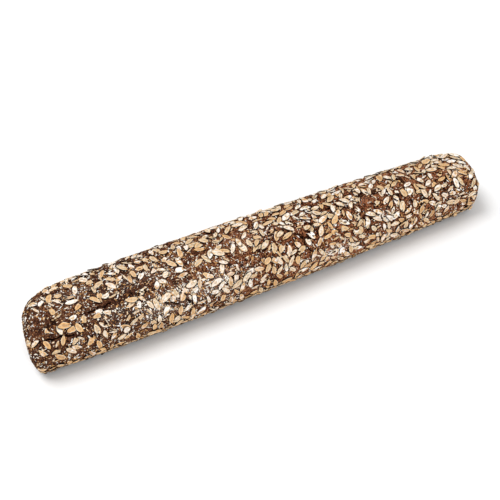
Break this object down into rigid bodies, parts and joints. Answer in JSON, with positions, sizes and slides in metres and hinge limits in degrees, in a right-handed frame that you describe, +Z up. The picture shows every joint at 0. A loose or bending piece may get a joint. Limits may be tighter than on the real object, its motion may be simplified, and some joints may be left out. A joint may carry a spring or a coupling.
{
  "type": "tin loaf",
  "caption": "Long slim tin loaf of dark rye bread with a flat base, soft shoulders and rounded ends, baked with rolled oats all over its crust.",
  "frame": {"origin": "middle of the flat base, below the middle of the loaf's box", "axes": "+X along the length, towards the slimmer end; +Y across, towards the back; +Z up, from the base to the crown"},
  "size_m": [0.5532, 0.0882, 0.0621],
  "materials": {
    "crust": "matte",
    "rolled_oats": "matte"
  },
  "bodies": {
    "root": {"loaf": "crust"}
  },
  "joints": []
}
